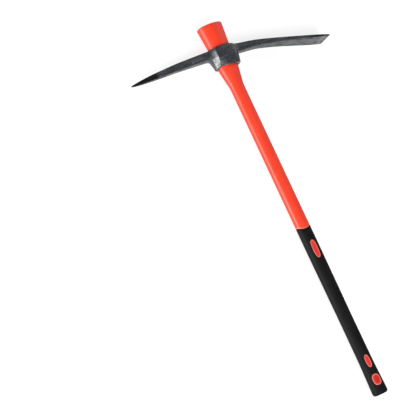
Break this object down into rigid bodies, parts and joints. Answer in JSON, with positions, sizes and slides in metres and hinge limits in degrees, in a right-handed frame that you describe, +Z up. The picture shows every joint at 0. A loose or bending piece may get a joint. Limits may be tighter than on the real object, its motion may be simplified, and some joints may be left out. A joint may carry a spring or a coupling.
{
  "type": "pick axe",
  "caption": "Two-armed pick with a pointed arm and a chisel arm on an oval eye, wedged on a long flared moulded handle with a soft grip sleeve.",
  "frame": {"origin": "on the surface the tool lies on, under the middle of its box; the handle's axis runs at X = -12.5 mm, Z = 28.5 mm", "axes": "+Y along the handle towards the head, +X along the arms towards the chisel end, +Z up, square to the plane of the arms"},
  "size_m": [0.495, 0.914, 0.057],
  "materials": {
    "head_steel": "black oxide and lacquer over forged steel, worn at the edges",
    "jacket_plastic": "satin orange-red moulded plastic",
    "core_fibreglass": "pultruded glass fibre",
    "plug_plastic": "matt black plastic",
    "grip_rubber": "matt black soft-touch rubber with a fine grain"
  },
  "bodies": {
    "handle": {"handle_jacket": "jacket_plastic", "core_rod": "core_fibreglass", "crown_plug": "plug_plastic", "grip_sleeve": "grip_rubber"},
    "head": {"pick_head": "head_steel"}
  },
  "joints": [
    {"name": "head_slide", "type": "slide", "parent": "handle", "child": "head", "axis": [0, -1, 0], "range_m": [0, 0.9]}
  ]
}
